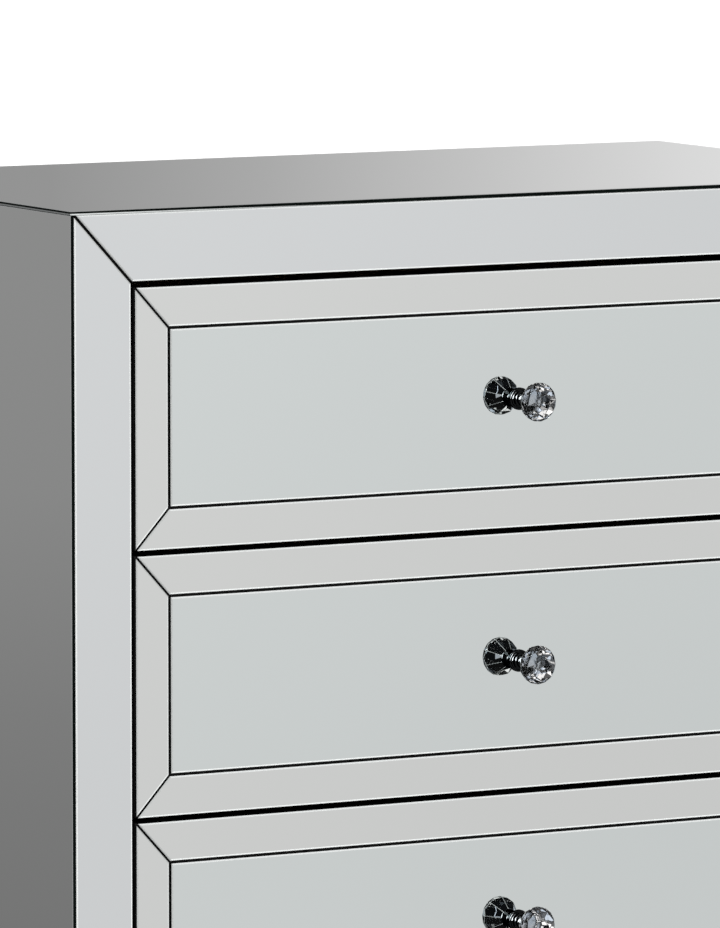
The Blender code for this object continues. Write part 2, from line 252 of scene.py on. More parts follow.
def blackLacquerFinish():
    material, tree, shader = startMaterial("blackLacquer")
    drift = addNoise(tree, lacquer["driftScale"], 3.0)
    colour = speckle(tree, drift, *soft, lacquer["deep"], lacquer["thin"])
    dust = addNoise(tree, lacquer["dustScale"], 2.0)
    colour = speckle(tree, dust, *lacquer["dustRange"], colour, lacquer["dust"])
    rough = remap(tree, drift, *soft, *lacquer["roughness"])
    peel = addBump(tree, addNoise(tree, lacquer["peelScale"], 2.0), *lacquer["bump"])
    connect(tree, shader, BaseColor=colour, Roughness=rough, SpecularIORLevel=lacquer["gloss"], Normal=peel)
    return material


hardboard = {
    "fibreScale": 260.0,
    "fibreStretch": (1.0, 1.0, 0.35),
    "fibreBreakUp": 0.7,
    "fibreRange": (0.35, 0.68),
    "deep": (0.010, 0.0095, 0.009),
    "fibre": (0.034, 0.031, 0.028),
    "patchScale": 5.0,
    "patchRange": (0.40, 0.75),
    "patchShare": (0.0, 0.35),
    "patch": (0.040, 0.036, 0.032),
    "roughness": (0.55, 0.80),
    "bump": (0.35, 0.0006),
}


def hardboardFinish():
    material, tree, shader = startMaterial("blackHardboard")
    fibres = addNoise(tree, hardboard["fibreScale"], 6.0, hardboard["fibreStretch"],
                      roughness=hardboard["fibreBreakUp"])
    colour = speckle(tree, fibres, *hardboard["fibreRange"], hardboard["deep"], hardboard["fibre"])
    patches = addNoise(tree, hardboard["patchScale"], 3.0)
    patches = remap(tree, patches, *hardboard["patchRange"], *hardboard["patchShare"])
    colour = mixColour(tree, patches, colour, hardboard["patch"])
    rough = remap(tree, fibres, *soft, *hardboard["roughness"])
    bump = addBump(tree, fibres, *hardboard["bump"])
    connect(tree, shader, BaseColor=colour, Roughness=rough, Normal=bump)
    return material


wood = {
    "pale": (0.640, 0.455, 0.270),
    "line": (0.430, 0.270, 0.135),
    "pore": (0.290, 0.165, 0.075),
    "warpScale": 2.2,
    "ringStretch": (4.6, 0.42),             # across and along the grain
    "fineStretch": (1.0, 0.035),
    "rings": 62.0,
    "ringSharpness": 2.2,
    "ringShare": 0.62,
    "streakScale": 210.0,
    "streakRange": (0.42, 0.75),
    "streakShare": (0.0, 0.4),
    "poreScale": 520.0,
    "poreRange": (0.62, 0.72),
    "poreShare": 0.55,
    "poreDepth": 0.6,
    "roughness": (0.42, 0.58),
    "bump": (0.18, 0.0004),
}


def woodFinish(name, along, shift):
    # plain-sawn board: slow rings across, everything drawn out along the grain
    material, tree, shader = startMaterial(name)
    rings, fine = [tuple(stretch[axis == along] for axis in range(3))
                   for stretch in (wood["ringStretch"], wood["fineStretch"])]
    warp = addNoise(tree, wood["warpScale"], 3.0, rings, shift)
    waves = addMath(tree, "SINE", addMath(tree, "MULTIPLY", warp, wood["rings"]))
    waves = addMath(tree, "POWER", remap(tree, waves, -1.0, 1.0), wood["ringSharpness"])
    streaks = addNoise(tree, wood["streakScale"], 4.0, fine, shift)
    pores = remap(tree, addNoise(tree, wood["poreScale"], 2.0, fine, shift), *wood["poreRange"])
    colour = mixColour(tree, addMath(tree, "MULTIPLY", waves, wood["ringShare"]), wood["pale"], wood["line"])
    lines = remap(tree, streaks, *wood["streakRange"], *wood["streakShare"])
    colour = mixColour(tree, lines, colour, wood["line"])
    colour = mixColour(tree, addMath(tree, "MULTIPLY", pores, wood["poreShare"]), colour, wood["pore"])
    rough = remap(tree, streaks, *soft, *wood["roughness"])
    height = addMath(tree, "SUBTRACT", streaks, addMath(tree, "MULTIPLY", pores, wood["poreDepth"]))
    bump = addBump(tree, height, *wood["bump"])
    connect(tree, shader, BaseColor=colour, Roughness=rough, Normal=bump)
    return material


zinc = {
    "drawnScale": 260.0,
    "drawnStretch": (1.0, 0.03, 1.0),       # lines along the slides from drawing the sheet
    "stainScale": 16.0,
    "stainRange": (0.35, 0.7),
    "bright": (0.66, 0.67, 0.67),
    "stained": (0.52, 0.54, 0.56),
    "roughness": (0.24, 0.42),
    "bump": (0.12, 0.0002),
    "screwScale": 700.0,
    "screwBright": (0.58, 0.58, 0.57),
    "screwWorn": (0.36, 0.36, 0.37),
    "screwRoughness": (0.22, 0.42),
}


def zincFinish():
    material, tree, shader = startMaterial("zincPlate")
    drawn = addNoise(tree, zinc["drawnScale"], 3.0, zinc["drawnStretch"])
    stains = addNoise(tree, zinc["stainScale"], 4.0)
    colour = speckle(tree, stains, *zinc["stainRange"], zinc["bright"], zinc["stained"])
    rough = remap(tree, drawn, *soft, *zinc["roughness"])
    bump = addBump(tree, drawn, *zinc["bump"])
    connect(tree, shader, BaseColor=colour, Metallic=1.0, Roughness=rough, Normal=bump)
    return material


def screwFinish():
    material, tree, shader = startMaterial("screwZinc")
    wear = addNoise(tree, zinc["screwScale"], 3.0)
    colour = speckle(tree, wear, *zinc["stainRange"], zinc["screwBright"], zinc["screwWorn"])
    rough = remap(tree, wear, *soft, *zinc["screwRoughness"])
    connect(tree, shader, BaseColor=colour, Metallic=1.0, Roughness=rough)
    return material


chrome = {
    "hazeScale": 300.0,
    # the near-black colours are painted shade: the polished chrome is made dark to stand in for dark
    # surroundings it would mirror
    "deep": (0.008, 0.009, 0.0095),
    "clear": (0.014, 0.015, 0.0155),
    "roughness": (0.03, 0.07),
    "rim": (0.35, 0.36, 0.36),  # what it mirrors at a low angle, dimmed to grey as painted shade
}


def chromeFinish():
    material, tree, shader = startMaterial("chromePaintedDark")
    haze = addNoise(tree, chrome["hazeScale"], 3.0)
    colour = speckle(tree, haze, *crisp, chrome["deep"], chrome["clear"])
    rough = remap(tree, haze, *soft, *chrome["roughness"])
    connect(tree, shader, BaseColor=colour, Metallic=1.0, Roughness=rough, SpecularTint=chrome["rim"])
    return material


foil = {
    "creaseScale": 420.0,
    "dark": (0.80, 0.81, 0.82),
    "light": (0.90, 0.91, 0.92),
    "roughness": 0.12,
    "bump": (0.3, 0.0005),
}


def foilFinish():
    # the silvered disc that backs a crystal in its cup
    material, tree, shader = startMaterial("brightFoil")
    creases = addNoise(tree, foil["creaseScale"], 3.0)
    colour = speckle(tree, creases, *crisp, foil["dark"], foil["light"])
    bump = addBump(tree, creases, *foil["bump"])
    connect(tree, shader, BaseColor=colour, Metallic=1.0, Roughness=foil["roughness"], Normal=bump)
    return material


crystal = {
    "polishScale": 500.0,
    "tinted": (0.975, 0.99, 0.985),
    "clear": (0.99, 1.0, 1.0),
    "roughness": (0.0, 0.006),
    "bending": 1.56,            # lead glass bends light this much
    # a near-black tint on the crystal's surface reflection: painted shade that keeps its facets dark
    "sheen": (0.02, 0.023, 0.022),
}


def crystalFinish():
    material, tree, shader = startMaterial("cutCrystal")
    polish = addNoise(tree, crystal["polishScale"], 2.0)
    colour = speckle(tree, polish, *soft, crystal["tinted"], crystal["clear"])
    rough = remap(tree, polish, *soft, *crystal["roughness"])
    connect(tree, shader, BaseColor=colour, Roughness=rough, TransmissionWeight=1.0, IOR=crystal["bending"],
            SpecularTint=crystal["sheen"])
    return material


plastic = {
    "grainScale": 900.0,
    "dark": (0.012, 0.012, 0.013),
    "light": (0.024, 0.024, 0.025),
    "roughness": (0.45, 0.6),
    "bump": (0.2, 0.0002),
}


def plasticFinish():
    material, tree, shader = startMaterial("blackPlastic")
    grain = addNoise(tree, plastic["grainScale"], 3.0)
    colour = speckle(tree, grain, *soft, plastic["dark"], plastic["light"])
    rough = remap(tree, grain, *soft, *plastic["roughness"])
    bump = addBump(tree, grain, *plastic["bump"])
    connect(tree, shader, BaseColor=colour, Roughness=rough, Normal=bump)
    return material


frameSilver = silverFinish("silverFrame", silvering["frame"])
borderSilver = silverFinish("silverBorder", silvering["border"])
centreSilver = silverFinish("silverCentre", silvering["centre"])
carcassSilver = silverFinish("silverCarcass", silvering["carcass"])
# one frosted finish in lit and shaded copies, as painted highlight on the bands; the band's frosting is real,
# its tone by direction is painted
groundGlassPaintedLit = groundFinish("groundGlassPaintedLit", grindingAndPaintedLight["plain"])
groundGlassPaintedMid = groundFinish("paintedMidGroundGlass", grindingAndPaintedLight["mid"])
groundGlassPaintedBright = groundFinish("paintedBrightGroundGlass", grindingAndPaintedLight["pale"])
groundGlassPaintedDim = groundFinish("paintedDimGroundGlass", grindingAndPaintedLight["soft"])
seamedGlass = groundFinish("seamedGlass", grindingAndPaintedLight["seamed"])
glassEdge = glassEdgeFinish("glassEdge")
backPaint = backPaintFinish()
blackLacquer = blackLacquerFinish()
blackHardboard = hardboardFinish()
woodAlongX = woodFinish("woodAcross", 0, (0.31, 0.12, 0.73))
woodAlongY = woodFinish("woodDeep", 1, (0.17, 0.62, 0.41))
zincPlate = zincFinish()
chromePaintedDark = chromeFinish()
brightFoil = foilFinish()
cutCrystal = crystalFinish()
screwZinc = screwFinish()
blackPlastic = plasticFinish()
print("materials ready")


# Small helpers for pieces

def addPiece(name, bm, materials, body, replaced=(), smoothAngle=None):
    mesh = bpy.data.meshes.new(name)
    bm.to_mesh(mesh)
    bm.free()
    for material in materials:
        mesh.materials.append(material)
    if smoothAngle:
        mesh.shade_smooth()
        mesh.set_sharp_from_angle(angle=math.radians(smoothAngle))
    piece = bpy.data.objects.new(name, mesh)
    bpy.context.scene.collection.objects.link(piece)
    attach(piece, body)
    if replaced:
        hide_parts(*replaced)
    return piece


def bevelEdges(bm, edges, offset, segments):
    bmesh.ops.bevel(bm, geom=edges, offset=offset, segments=segments, profile=0.5, affect="EDGES",
                    material=-1)


copying = {
    "merge": 1e-5,
    "flatWithin": math.radians(1),          # faces that turn less than this become one
    "sharpOver": math.radians(30),
    "segments": 2,
}


def easedCopy(node, name, material, body, ease):
    # the CAD board or sheet again, with its sharp edges eased
    bm = bmesh.new()
    bm.from_mesh(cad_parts[node].data)
    bmesh.ops.remove_doubles(bm, verts=bm.verts, dist=copying["merge"])
    bmesh.ops.dissolve_limit(bm, angle_limit=copying["flatWithin"], verts=bm.verts, edges=bm.edges)
    closed = [e for e in bm.edges if len(e.link_faces) == 2]
    sharp = [e for e in closed if e.calc_face_angle() > copying["sharpOver"]]
    bevelEdges(bm, sharp, ease, copying["segments"])
    return addPiece(name, bm, [material], body, [node])


# Mirror panes

glass = {
    "thickness": 0.003,
    "groundWidth": 0.0012,      # the bright ground band along each front edge
    "groundDepth": 0.6,         # its depth as a share of its width
    "carcassGround": 0.0005,    # the top and side panes are only seamed
    "litEdge": 0.0012,          # the part of the top pane's sawn edge painted as lit
    "groundSteps": 2,
    "backEase": 0.0003,
    "closeUp": 0.0003,          # brings the top strip up to the top pane
    "mitreGap": 0.0018,
    "frameMitreGap": 0.0023,
    "jointGap": 0.0024,         # between a drawer's centre pane and its border
}
paneSlots = ("silver", "ground", "edge", "back", "seam", "soft", "pale", "mid", "frontEdge", "endEdge")
normalShares = {"face": 0.999, "band": 0.05, "back": -0.9, "leaning": 0.15, "end": 0.5}


def bandLitTone(across, up, seamed, body):
    # which painted tone each ground band round a pane's face gets, by the way it leans: brighter or dimmer
    # copies of one frosted finish stand in for the light each band catches
    least = normalShares["leaning"]
    if seamed:
        return "seam"
    if min(abs(across), abs(up)) > least:
        return "pale" if across > 0 > up else "soft"
    if across < -least:
        return "mid" if body == "carcass" else "soft"
    if across > least:
        return "pale" if body == "carcass" else "mid"
    return "ground" if up > least else "pale"


def faceKind(normal, seamed, body, lit):
    across, towards, up = normal.x, -normal.y, normal.z
    if towards > normalShares["face"]:
        return "silver"
    if towards > normalShares["band"]:
        return bandLitTone(across, up, seamed, body)
    if towards < normalShares["back"]:
        return "back"
    if lit and abs(across) > normalShares["end"]:
        return "endEdge"
    return "frontEdge" if lit and up < 0 else "edge"


def makePane(name, outline, place, silver, body, replaced, ground=glass["groundWidth"], litEdges=()):
    # drawn in the XZ plane with its front at y = 0, then set in place
    seamed = ground <= glass["carcassGround"]
    bm = bmesh.new()
    front = bm.faces.new([bm.verts.new((x, 0, z)) for x, z in outline])
    made = bmesh.ops.extrude_face_region(bm, geom=[front])
    moved = [v for v in made["geom"] if isinstance(v, bmesh.types.BMVert)]
    bmesh.ops.translate(bm, verts=moved, vec=(0, glass["thickness"], 0))
    bmesh.ops.recalc_face_normals(bm, faces=bm.faces)
    rims = {False: [], True: []}
    for edge in bm.edges:
        depths = [v.co.y for v in edge.verts]
        if abs(depths[0] - depths[1]) < hair:
            rims[depths[0] > glass["thickness"] / 2].append(edge)
    bevelEdges(bm, rims[True], glass["backEase"], 1)
    bevelEdges(bm, [e for e in rims[False] if e.is_valid], ground, glass["groundSteps"])
    for vert in bm.verts:
        if vert.co.y < ground + hair:
            vert.co.y *= glass["groundDepth"]
    bm.normal_update()
    for face in bm.faces:
        face.material_index = paneSlots.index(faceKind(face.normal, seamed, body, litEdges))
    bm.transform(place)
    finishes = [silver, groundGlassPaintedLit, glassEdge, backPaint, seamedGlass, groundGlassPaintedDim, groundGlassPaintedBright, groundGlassPaintedMid]
    return addPiece(name, bm, [*finishes, *litEdges], body, replaced)


def rectangle(x0, z0, x1, z1):
    return [(x0, z0), (x1, z0), (x1, z1), (x0, z1)]


def meet(pointA, alongA, pointB, alongB):
    share = (pointB - pointA).cross(alongB) / alongA.cross(alongB)
    return pointA + alongA * share


def mitredOutline(outer, inner, side, gap=glass["mitreGap"]):
    # one strip of the border between two rectangles, held back from its mitres by half the gap
    ends = [(Vector(a), Vector(b)) for a, b in zip(rectangle(*outer), rectangle(*inner))]
    first = ("Bottom", "Right", "Top", "Left").index(side)
    pair = (ends[first], ends[(first + 1) % 4])
    run = (pair[1][0] - pair[0][0]).normalized()
    points = []
    for (pointOut, pointIn), towards in zip(pair, (1, -1)):
        mitre = (pointIn - pointOut).normalized()
        square = Vector((-mitre.y, mitre.x))
        start = pointOut + square * math.copysign(gap / 2, square.dot(run) * towards)
        points.append((meet(start, mitre, pointOut, run), meet(start, mitre, pointIn, run)))
    (outA, inA), (outB, inB) = points
    return [tuple(outA), tuple(outB), tuple(inB), tuple(inA)]


low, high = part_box("top_mirror")
leftX, frontY, topZ = low.x, low.y, high.z
depth = high.y - frontY
lowest = topZ - glass["thickness"]
litEdge = glass["litEdge"]
# lit and shaded copies of the edge finish for the top pane, painting a lit strip on its front and ends
topEdges = [glassEdgeFinish("topFrontEdge", sawnEdge["frontLight"], (litEdge, 0.0), lowest),
            glassEdgeFinish("topEndEdge", sawnEdge["endLight"], (litEdge, litEdge), lowest)]
laid = Matrix.Translation((0, frontY, topZ)) @ Matrix.Rotation(-quarter, 4, "X")
makePane("topPane", rectangle(leftX, 0, high.x, depth), laid, carcassSilver, "carcass", ["top_mirror"],
         glass["carcassGround"], topEdges)
sideLow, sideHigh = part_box("left_side_mirror")
for side, x, near, far, turn in (("left", leftX, -depth, 0, -quarter), ("right", high.x, 0, depth, quarter)):
    turned = Matrix.Translation((x, frontY, 0)) @ Matrix.Rotation(turn, 4, "Z")
    makePane(side + "SidePane", rectangle(near, sideLow.z, far, sideHigh.z), turned, carcassSilver, "carcass",
             [side + "_side_mirror"], glass["carcassGround"])

stripSides = ("Top", "Bottom", "Left", "Right")
upright = Matrix.Translation((0, frontY, 0))
left, right, top, bottom = [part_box("frame_mirror_" + side) for side in ("left", "right", "top", "bottom")]
frameOuter = (left[0].x, bottom[0].z, right[1].x, top[1].z + glass["closeUp"])
frameInner = (left[1].x, bottom[1].z, right[0].x, top[0].z)
for side in stripSides:
    outline = mitredOutline(frameOuter, frameInner, side, glass["frameMitreGap"])
    node = "frame_mirror_" + side.lower()
    makePane("frameStrip" + side, outline, upright, frameSilver, "carcass", [node])

for number in drawerNumbers:
    body = f"drawer_{number}"
    low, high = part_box(body + "_border_mirror")
    paneLow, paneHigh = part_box(body + "_centre_mirror")
    outer = (low.x, low.z, high.x, high.z)
    gap = glass["jointGap"]
    inner = (paneLow.x - gap, paneLow.z - gap, paneHigh.x + gap, paneHigh.z + gap)
    node = body + "_border_mirror"
    for side in stripSides:
        outline = mitredOutline(outer, inner, side)
        makePane(f"drawer{number}Strip{side}", outline, upright, borderSilver, body, [node])
    node = body + "_centre_mirror"
    outline = rectangle(paneLow.x, paneLow.z, paneHigh.x, paneHigh.z)
    makePane(f"drawer{number}CentrePane", outline, upright, centreSilver, body, [node])
print("mirror panes cut")


# Boards

board = {"ease": 0.0006, "frontEase": 0.0004, "wallEase": 0.0009, "letIn": 0.0010}

for node in ("front_frame", "left_side_board", "right_side_board", "left_lining_board",
             "right_lining_board", "top_board", "base_board"):
    easedCopy(node, node.replace("_", "."), blackLacquer, "carcass", board["ease"])
backPanel = easedCopy("back_panel", "back.panel", blackHardboard, "carcass", board["ease"])
low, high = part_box("back_panel")
for vert in backPanel.data.vertices:
    # let in a little, so its screw heads stay level with the panes' back edges
    vert.co.y = low.y + (vert.co.y - low.y) * (1 - board["letIn"] / (high.y - low.y))
for number in drawerNumbers:
    body = f"drawer_{number}"
    easedCopy(body + "_front_board", body + ".front", blackLacquer, body,
              board["frontEase"])
    for part, finish in (("left_side", woodAlongY), ("right_side", woodAlongY), ("back", woodAlongX),
                         ("bottom", woodAlongX)):
        easedCopy(f"{body}_{part}", f"{body}.{part}", finish, body, board["wallEase"])
print("boards eased")


# Slides

slide = {
    "bend": 0.00045,
    "sheet": 0.0012,
    "middleWeb": 0.0046,        # from the middle member's outer side in to its web
    "nearGap": 0.0004,
    "bumper": (0.0024, 0.010, 0.016),       # stop blocks at the front end of each middle member
    "bumperEase": 0.0007,
    "bumperSegments": 3,
    "pressed": 0.0001,
    "setBack": 0.0003,
}

for number in drawerNumbers:
    drawer, middles = f"drawer_{number}", f"slide_middles_{number}"
    for side in ("left", "right"):
        for member, node, body in (("channel", f"{side}_slide_channel_{number}", "carcass"),
                                   ("middle", f"{drawer}_{side}_slide_middle", middles),
                                   ("runner", f"{drawer}_{side}_slide_runner", drawer)):
            easedCopy(node, f"slide.{member}.{side}.{number}", zincPlate, body, slide["bend"])
    low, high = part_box(drawer + "_right_slide_middle")
    thick, long, tall = slide["bumper"]
    outerWeb = high.x + slide["sheet"] + slide["nearGap"] - slide["middleWeb"]
    x = outerWeb + thick / 2 - slide["pressed"]
    y = low.y + long / 2 + slide["setBack"]
    bm = bmesh.new()
    for sign in (-1, 1):
        place = Matrix.Translation((sign * x, y, (low.z + high.z) / 2))
        bmesh.ops.create_cube(bm, size=1, matrix=place @ Matrix.Diagonal((thick, long, tall, 1)))
    bevelEdges(bm, bm.edges[:], slide["bumperEase"], slide["bumperSegments"])
    addPiece(f"slideBumpers{number}", bm, [blackPlastic], middles)
print("slides fitted")


# Screws

screw = {
    "points": 12,               # corners round a head
    "sunk": 0.0002,
    "dome": [(0.98, 0.4), (0.82, 0.85)],    # shares of the head's radius and height
    "crossReach": 0.56,         # the cross recess, as shares of the head's radius and height
    "crossHalf": 0.15,
    "crossDepth": 0.75,
    "backHead": (0.0036, 0.0009),           # radius and height
    "backInset": 0.0075,        # in from the panel's edge
    "backRows": (5, 6),         # along the height and along the width
    "boxHead": (0.0032, 0.0013),
    "boxInsets": (0.012, 0.022),            # up from the drawer back's lower edge, down from its upper one
    "bottomInset": 0.06,
    "bottomCount": 5,
    "slideStations": (0.08, 0.33, 0.62, 0.92),      # along a slide member, as shares of its length
    "knobHead": (0.0045, 0.0022),
    "washer": (0.0075, 0.0010),
    "washerPoints": 32,
    "washerEase": 0.3,          # as a share of its height
    "washerSegments": 2,
}


def addHead(bm, point, axis, size):
    # a domed pan head; its two upper rings are drawn into the cross of the recess
    radius, height = size
    reach, half = screw["crossReach"] * radius, screw["crossHalf"] * radius
    arm = [(reach, -half), (reach, half), (half, half)]
    cross = [Matrix.Rotation(quarter * turn, 2) @ Vector(corner) for turn in range(4) for corner in arm]
    floor = height * (1 - screw["crossDepth"])
    levels = [(radius, -screw["sunk"])]
    levels += [(radius * out, height * up) for out, up in screw["dome"]]
    levels += [(None, height), (None, floor)]
    points = screw["points"]
    step = 360 / points
    loops = []
    for ringRadius, level in levels:
        place = Matrix.Translation((0, 0, level)) @ Matrix.Rotation(math.radians(step / 2), 4, "Z")
        ring = bmesh.ops.create_circle(bm, cap_ends=level == floor, radius=ringRadius or reach,
                                       segments=points, matrix=place)["verts"]
        if not ringRadius:
            for vert in ring:
                compass = math.degrees(math.atan2(vert.co.y, vert.co.x))
                vert.co.x, vert.co.y = cross[round(compass / step + 0.5) % points]
        loops.append(ring)
    for lower, upper in zip(loops, loops[1:]):
        pair = set(lower + upper)
        edges = [e for e in bm.edges if e.verts[0] in pair and e.verts[1] in pair]
        edges = [e for e in edges if (e.verts[0] in lower) == (e.verts[1] in lower)]
        bmesh.ops.bridge_loops(bm, edges=edges)
    turned = Vector(axis).to_track_quat("Z", "Y").to_matrix().to_4x4()
    head = [vert for ring in loops for vert in ring]
    bmesh.ops.transform(bm, matrix=Matrix.Translation(point) @ turned, verts=head)


def addHeads(name, places, size, body):
    bm = bmesh.new()
    for point, axis in places:
        addHead(bm, point, axis, size)
    bmesh.ops.recalc_face_normals(bm, faces=bm.faces)
    return addPiece(name, bm, [screwZinc], body)


def spread(start, end, inset, count):
    # places in a row, the first and last as far in from the ends as the inset
    first, run = start + inset, end - inset - (start + inset)
    return [first + run * step / (count - 1) for step in range(count)]


def screwBackPanel():
    low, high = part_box("back_panel")
    inset = screw["backInset"]
    alongHeight, alongWidth = screw["backRows"]
    uprights = spread(low.z, high.z, inset, alongHeight)
    places = [(x, z) for x in (low.x + inset, high.x - inset) for z in uprights]
    between = spread(low.x, high.x, inset, alongWidth)[1:-1]
    places += [(x, z) for z in (low.z + inset, high.z - inset) for x in between]
    backFace = high.y - board["letIn"]
    addHeads("backScrews", [((x, backFace, z), (0, 1, 0)) for x, z in places], screw["backHead"], "carcass")


def screwDrawerBox(number, body):
    outside = -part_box(body + "_left_side")[0].x
    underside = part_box(body + "_bottom")[0].z
    low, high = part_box(body + "_back")
    middle = (low.y + high.y) / 2
    up, down = screw["boxInsets"]
    levels = (low.z + up, high.z - down)
    places = [((sign * outside, middle, z), (sign, 0, 0)) for sign in (-1, 1) for z in levels]
    row = spread(low.x, high.x, screw["bottomInset"], screw["bottomCount"])
    places += [((x, middle, underside), (0, 0, -1)) for x in row]
    addHeads(f"drawer{number}BoxScrews", places, screw["boxHead"], body)


def screwSlides(number, body):
    # the runners are screwed to the drawer and the channels to the linings, through their webs
    low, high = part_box(body + "_left_slide_runner")
    level = (low.z + high.z) / 2
    stations = [low.y + share * (high.y - low.y) for share in screw["slideStations"]]
    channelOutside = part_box(f"right_slide_channel_{number}")[1].x
    for name, web, inwards, carrier in (
            (f"drawer{number}RunnerScrews", -high.x + slide["sheet"], 1, body),
            (f"channelScrews{number}", channelOutside - slide["sheet"], -1, "carcass")):
        places = [((sign * web, y, level), (sign * inwards, 0, 0)) for sign in (-1, 1) for y in stations]
        addHeads(name, places, screw["boxHead"], carrier)


def screwKnob(number, body):
    low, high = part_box(body + "_knob_crystal")
    middle = (low.z + high.z) / 2
    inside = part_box(body + "_front_board")[1].y
    radius, height = screw["washer"]
    place = Matrix.Translation((0, inside + height / 2 - screw["sunk"], middle))
    bm = bmesh.new()
    bmesh.ops.create_cone(bm, cap_ends=True, segments=screw["washerPoints"], radius1=radius, radius2=radius,
                          depth=height, matrix=place @ Matrix.Rotation(quarter, 4, "X"))
    rims = [e for e in bm.edges if e.calc_face_angle(0) > copying["sharpOver"]]
    bevelEdges(bm, rims, height * screw["washerEase"], screw["washerSegments"])
    addHead(bm, (0, inside + height - screw["sunk"], middle), (0, 1, 0), screw["knobHead"])
    bmesh.ops.recalc_face_normals(bm, faces=bm.faces)
    addPiece(f"knob{number}Screw", bm, [screwZinc], body)


screwBackPanel()
for number in drawerNumbers:
    body = f"drawer_{number}"
    screwDrawerBox(number, body)
    screwSlides(number, body)
    screwKnob(number, body)
print("screws driven")


# Knobs

knob = {
    "steps": 64,
    "facets": 8,
    "facetEase": 0.00025,       # polished-over edges between the facets
    "narrow": 3,                # a face slimmer than this many eases is such an edge
    "backKites": 0.86,          # how far the long back facets run towards the girdle
    "crystalStart": 0.0156,     # out from the glass
    "girdle": 0.0300,
    "girdleHeight": 0.0014,
    "tip": 0.0394,
    "radius": 0.0156,
    "crownRows": [(0.6, 0.0128), (1.0, 0.0060)],    # (share of the crown's height, radius)
    "stemRadius": 0.0062,
    "turns": {1: 15.0, 2: 22.0, 3: 4.0},    # each knob screwed home at its own angle
    "profile": [                # (out from the glass, radius) in mm: stud, rosette, neck, bead, cup
        (-16.0, 0.0), (-16.0, 1.7), (-15.6, 2.0), (0.3, 2.0),
        (0.3, 8.6), (0.5, 8.9), (0.9, 9.0), (1.3, 8.85), (1.6, 8.5), (1.75, 7.9), (1.8, 7.3), (1.95, 7.2),
        (2.25, 6.9), (2.3, 6.2), (2.35, 5.2), (2.8, 4.55), (3.5, 4.2), (4.1, 4.2),
        (4.5, 4.45), (4.8, 4.9), (5.3, 5.35), (6.0, 5.62), (7.0, 5.7), (8.0, 5.62), (8.7, 5.35), (9.2, 4.9),
        (9.5, 4.45), (9.9, 4.2), (10.9, 4.15), (11.7, 4.35),
        (12.3, 4.9), (13.0, 5.8), (13.8, 6.7), (14.3, 7.15), (14.7, 7.35), (15.0, 7.4), (15.3, 7.2),
        (15.3, 0.0)],
    "mouthSlack": 0.1,          # the cup's mouth, in mm, is silvered this close to its end
    "smoothAngle": 40,
}


def turnedBase(centreZ):
    profile = knob["profile"]
    bm = bmesh.new()
    verts = [bm.verts.new((radius * mm, frontY - out * mm, centreZ)) for out, radius in profile]
    edges = [bm.edges.new(pair) for pair in zip(verts, verts[1:])]
    bmesh.ops.spin(bm, geom=verts + edges, cent=(0, frontY, centreZ), axis=(0, 1, 0), angle=math.tau,
                   steps=knob["steps"], use_merge=True)
    bmesh.ops.remove_doubles(bm, verts=bm.verts, dist=hair)
    bmesh.ops.recalc_face_normals(bm, faces=bm.faces)
    cupMouth = (profile[-1][0] - knob["mouthSlack"]) * mm
    for face in bm.faces:
        face.material_index = 1 if frontY - face.calc_center_median().y > cupMouth else 0
    return bm


def cutCrystalBody(centreZ, turn):
    # long facets at the back, rows of small ones over the front, and triangles either side of the girdle
    half = math.pi / knob["facets"]
    facets, start, girdle = knob["facets"], knob["crystalStart"], knob["girdle"]
    cupRadius, radius, backShare = knob["stemRadius"], knob["radius"], knob["backKites"]
    crown = girdle + knob["girdleHeight"]
    backRidge = (cupRadius * math.cos(half) * (1 - backShare) + radius * backShare) / math.cos(half)
    rings = [(start, cupRadius, facets, 0.0), (start + (girdle - start) * backShare, backRidge, facets, 0.0),
             (girdle, radius, 2 * facets, 0.0), (crown, radius, 2 * facets, 0.0)]
    for row, (share, rowRadius) in enumerate(knob["crownRows"]):
        offset = half * ((row + 1) % 2)
        rings.append((crown + (knob["tip"] - crown) * share, rowRadius, facets, offset))
    bm = bmesh.new()
    for out, ringRadius, count, offset in rings:
        screwed = Matrix.Rotation(math.radians(turn) + offset, 4, "Y") @ Matrix.Rotation(quarter, 4, "X")
        place = Matrix.Translation((0, frontY - out, centreZ)) @ screwed
        bmesh.ops.create_circle(bm, cap_ends=False, radius=ringRadius, segments=count, matrix=place)
    hull = bmesh.ops.convex_hull(bm, input=bm.verts)
    inside = {*hull["geom_interior"], *hull["geom_unused"]}
    spare = [item for item in inside if isinstance(item, bmesh.types.BMVert)]
    bmesh.ops.delete(bm, geom=spare, context="VERTS")
    bmesh.ops.dissolve_limit(bm, angle_limit=copying["flatWithin"], verts=bm.verts, edges=bm.edges)
    bmesh.ops.recalc_face_normals(bm, faces=bm.faces)
    bevelEdges(bm, bm.edges[:], knob["facetEase"], 1)
    bm.normal_update()
    narrowest = knob["narrow"] * knob["facetEase"]
    # the eased ridges behind the girdle take the pale frosted band finish: painted highlight lines on the
    # crystal's back
    for face in bm.faces:
        eased = min(edge.calc_length() for edge in face.edges) < narrowest
        behind = frontY - face.calc_center_median().y < girdle
        face.material_index = 1 if eased and behind else 0
    return bm


knobBases = []
for number in drawerNumbers:
    body = f"drawer_{number}"
    low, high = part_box(body + "_knob_crystal")
    centreZ = (low.z + high.z) / 2
    base = addPiece(f"knob{number}Base", turnedBase(centreZ), [chromePaintedDark, brightFoil], body,
                    [body + "_knob_base"], knob["smoothAngle"])
    knobBases.append(base)
    cut = cutCrystalBody(centreZ, knob["turns"][number])
    addPiece(f"knob{number}Crystal", cut, [cutCrystal, groundGlassPaintedLit], body,
             [body + "_knob_crystal"])
print("knobs turned and cut")


# Floor, light and camera

